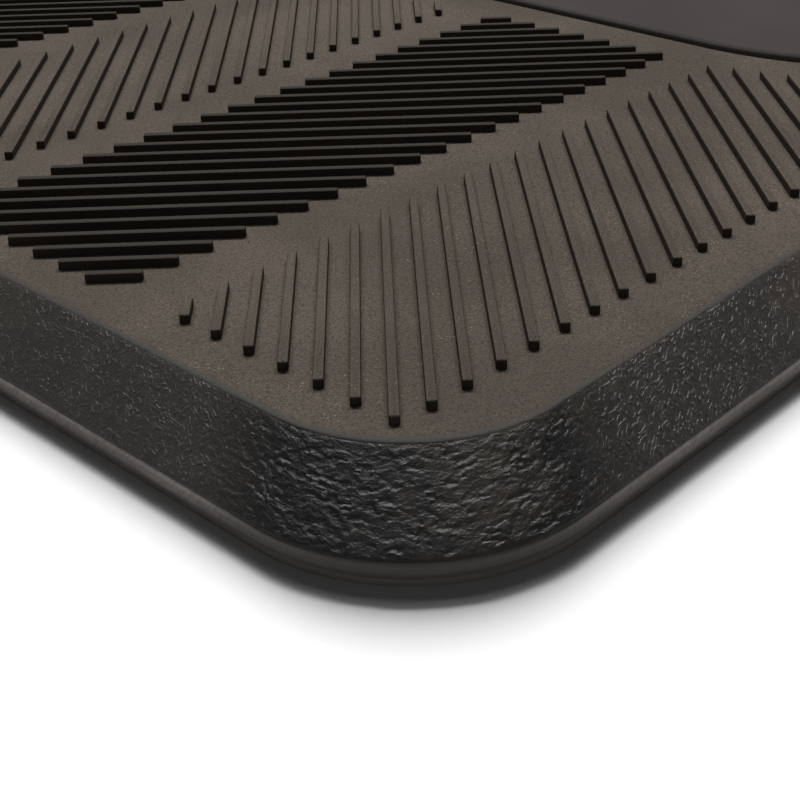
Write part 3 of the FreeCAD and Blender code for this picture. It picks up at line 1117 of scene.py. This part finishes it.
def foam_material(name, dark, light):
    """Closed-cell foam, with its cells cut open on the surface and painted shade in
    their hollows.
    """
    material, tree, shader = new_material(name)
    place = object_coordinates(tree)
    cells = add_node(tree, "TexVoronoi", {"Vector": place, "Scale": 1400.0})
    depth = ramp_node(tree, cells.outputs["Distance"], 0.1, 0.6)
    cloud = noise_node(tree, place, 30.0, 3.0)
    # Painted shade: darker in the hollows of the open cells
    shade = math_node(tree, "MULTIPLY_ADD", depth, 0.6, math_node(tree, "MULTIPLY", cloud, 0.4))
    colour = mix_colour(tree, shade, dark, light)
    normal = bump_node(tree, depth, FOAM_BUMP)
    shader.inputs["Roughness"].default_value = FOAM_ROUGHNESS
    connect(tree, shader, colour=colour, normal=normal)
    return material


# Studio

CAMERA_PLACE = (-0.49957, -0.36533, 0.14376)
CAMERA_YAW = 44.27
CAMERA_DIP = 31.19
CAMERA_ROLL = -1.67
CAMERA_LENS = 63.6
CAMERA_SENSOR = 36
CAMERA_CLIP = (0.01, 50)

# Softboxes: azimuth, elevation, distance, width, height, power
KEY_SOFTBOX = (45, 60, 3.0, 3.0, 1.1, 168)
FILL_SOFTBOX = (225, 48, 2.0, 1.6, 1.6, 5.0)
FLOOR_SOFTBOX = (45, 32.5, 3.0, 1.2, 0.9, 194)
UPPER_FLOOR_SOFTBOX = (45, 46, 3.0, 1.2, 0.8, 11)

WORLD_LIGHT = 0.03
FLOOR_REACH = 40
FLOOR_DARK = (0.88, 0.88, 0.88)
FLOOR_LIGHT = (0.9, 0.9, 0.9)
FLOOR_ROUGHNESS = 0.9
GLOW_REACH = (0.66, 1.5)


def direction(azimuth, elevation):
    """A unit vector from angles in radians."""
    level = math.cos(elevation)
    return Vector((math.cos(azimuth) * level, math.sin(azimuth) * level, math.sin(elevation)))


def add_camera():
    """A close view down on the near left corner."""
    yaw, dip, roll = (math.radians(angle) for angle in (CAMERA_YAW, CAMERA_DIP, CAMERA_ROLL))
    forward = direction(yaw, -dip)
    right = forward.cross(Vector((0, 0, 1))).normalized()
    up = right.cross(forward)
    across = right * math.cos(roll) + up * math.sin(roll)
    upright = up * math.cos(roll) - right * math.sin(roll)
    turn = Matrix((across, upright, -forward)).transposed().to_4x4()
    data = bpy.data.cameras.new("camera")
    data.lens = CAMERA_LENS
    data.sensor_width = CAMERA_SENSOR
    data.clip_start, data.clip_end = CAMERA_CLIP
    camera = bpy.data.objects.new("camera", data)
    camera.matrix_world = Matrix.Translation(CAMERA_PLACE) @ turn
    bpy.context.scene.collection.objects.link(camera)
    bpy.context.scene.camera = camera


def add_softbox(name, azimuth, elevation, distance, width, height, power, target):
    """A rectangular light, placed by its direction as seen from a target."""
    data = bpy.data.lights.new(name, "AREA")
    data.shape = "RECTANGLE"
    data.size = width
    data.size_y = height
    data.energy = power
    light = bpy.data.objects.new(name, data)
    way = direction(math.radians(azimuth), math.radians(elevation))
    light.location = Vector(target) + way * distance
    light.rotation_mode = "QUATERNION"
    light.rotation_quaternion = way.to_track_quat("Z", "Y")
    bpy.context.scene.collection.objects.link(light)
    return light


def light_only(light, name, pieces):
    """Makes a light fall on some pieces only; the others still cast its shadow."""
    receivers = bpy.data.collections.new(name)
    for piece in pieces:
        receivers.objects.link(piece)
    light.light_linking.receiver_collection = receivers


def add_floor():
    """A white floor, which glows beyond the reach of its lights."""
    material, tree, shader = new_material("white_floor")
    place = object_coordinates(tree)
    tone = noise_node(tree, place, 3.0, 2.0)
    connect(tree, shader, colour=mix_colour(tree, tone, FLOOR_DARK, FLOOR_LIGHT))
    shader.inputs["Roughness"].default_value = FLOOR_ROUGHNESS
    away = add_node(tree, "VectorMath", {0: place}, operation="LENGTH").outputs["Value"]
    glow = ramp_node(tree, away, *GLOW_REACH)
    shader.inputs["Emission Color"].default_value = (1, 1, 1, 1)
    tree.links.new(glow, shader.inputs["Emission Strength"])
    reach = FLOOR_REACH
    corners = [(-reach, -reach, 0), (reach, -reach, 0), (reach, reach, 0), (-reach, reach, 0)]
    mesh = bpy.data.meshes.new("floor")
    mesh.from_pydata(corners, [], [(0, 1, 2, 3)])
    mesh.materials.append(material)
    floor = bpy.data.objects.new("floor", mesh)
    bpy.context.scene.collection.objects.link(floor)
    return floor


def add_backdrop():
    """A world that the camera sees as white and that gives almost no light."""
    world = bpy.data.worlds.new("studio")
    world.use_nodes = True
    tree = world.node_tree
    seen = add_node(tree, "LightPath").outputs["Is Camera Ray"]
    background = tree.nodes["Background"]
    background.inputs["Color"].default_value = (1, 1, 1, 1)
    tree.links.new(mix_value(tree, seen, WORLD_LIGHT, 1.0), background.inputs["Strength"])
    bpy.context.scene.world = world


def add_studio(pieces):
    """A wide softbox and a weak fill for the mat, and a narrower pair for the floor."""
    near_corner = (-HALF_LENGTH * MM, -HALF_DEPTH * MM, 0)
    key = add_softbox("key_softbox", *KEY_SOFTBOX, near_corner)
    fill = add_softbox("fill_softbox", *FILL_SOFTBOX, near_corner)
    floor_key = add_softbox("floor_softbox", *FLOOR_SOFTBOX, near_corner)
    floor_upper = add_softbox("upper_floor_softbox", *UPPER_FLOOR_SOFTBOX, near_corner)
    add_backdrop()
    floor = add_floor()
    for light in (key, fill):
        light_only(light, light.name + "_receivers", pieces)
    for light in (floor_key, floor_upper):
        light_only(light, light.name + "_receivers", [floor])
    bpy.context.scene.view_settings.view_transform = "Standard"


# Putting it together

def finish_piece(piece, node):
    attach(piece, "root")
    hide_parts(node)


deck_rubber = cover_material("dusty_deck_rubber", DECK_FINISH)
bevel_rubber = cover_material("dark_bevel_rubber", BEVEL_FINISH)
cover = build_cover().make("cover", [deck_rubber, bevel_rubber])
finish_piece(cover, "ribbed_cover")

base = build_base().make("base", [base_material()])
finish_piece(base, "base_layer")

pad = build_pad().make("pad", [pad_material()])
finish_piece(pad, "centre_pad")

core_radius = HOLLOW_RADIUS - (HALF_LENGTH - PLATEAU_INSET - CORE_HIGH.x)
core_shell = build_foam(CORE_LOW, CORE_HIGH, core_radius, *CORE_SHAPE)
core = core_shell.make("core", [foam_material("core_foam", CORE_DARK, CORE_LIGHT)])
finish_piece(core, "foam_core")

cushion_radius = PAD_RADIUS - (PAD_HIGH.x - CUSHION_HIGH.x)
cushion_shell = build_foam(CUSHION_LOW, CUSHION_HIGH, cushion_radius, *CUSHION_SHAPE)
cushion = cushion_shell.make(
    "cushion", [foam_material("cushion_foam", CUSHION_DARK, CUSHION_LIGHT)]
)
finish_piece(cushion, "centre_cushion")

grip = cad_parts["grip_sheet"]
grip.material_slots[0].material = grip_material()

add_camera()
add_studio([cover, base, pad, grip])
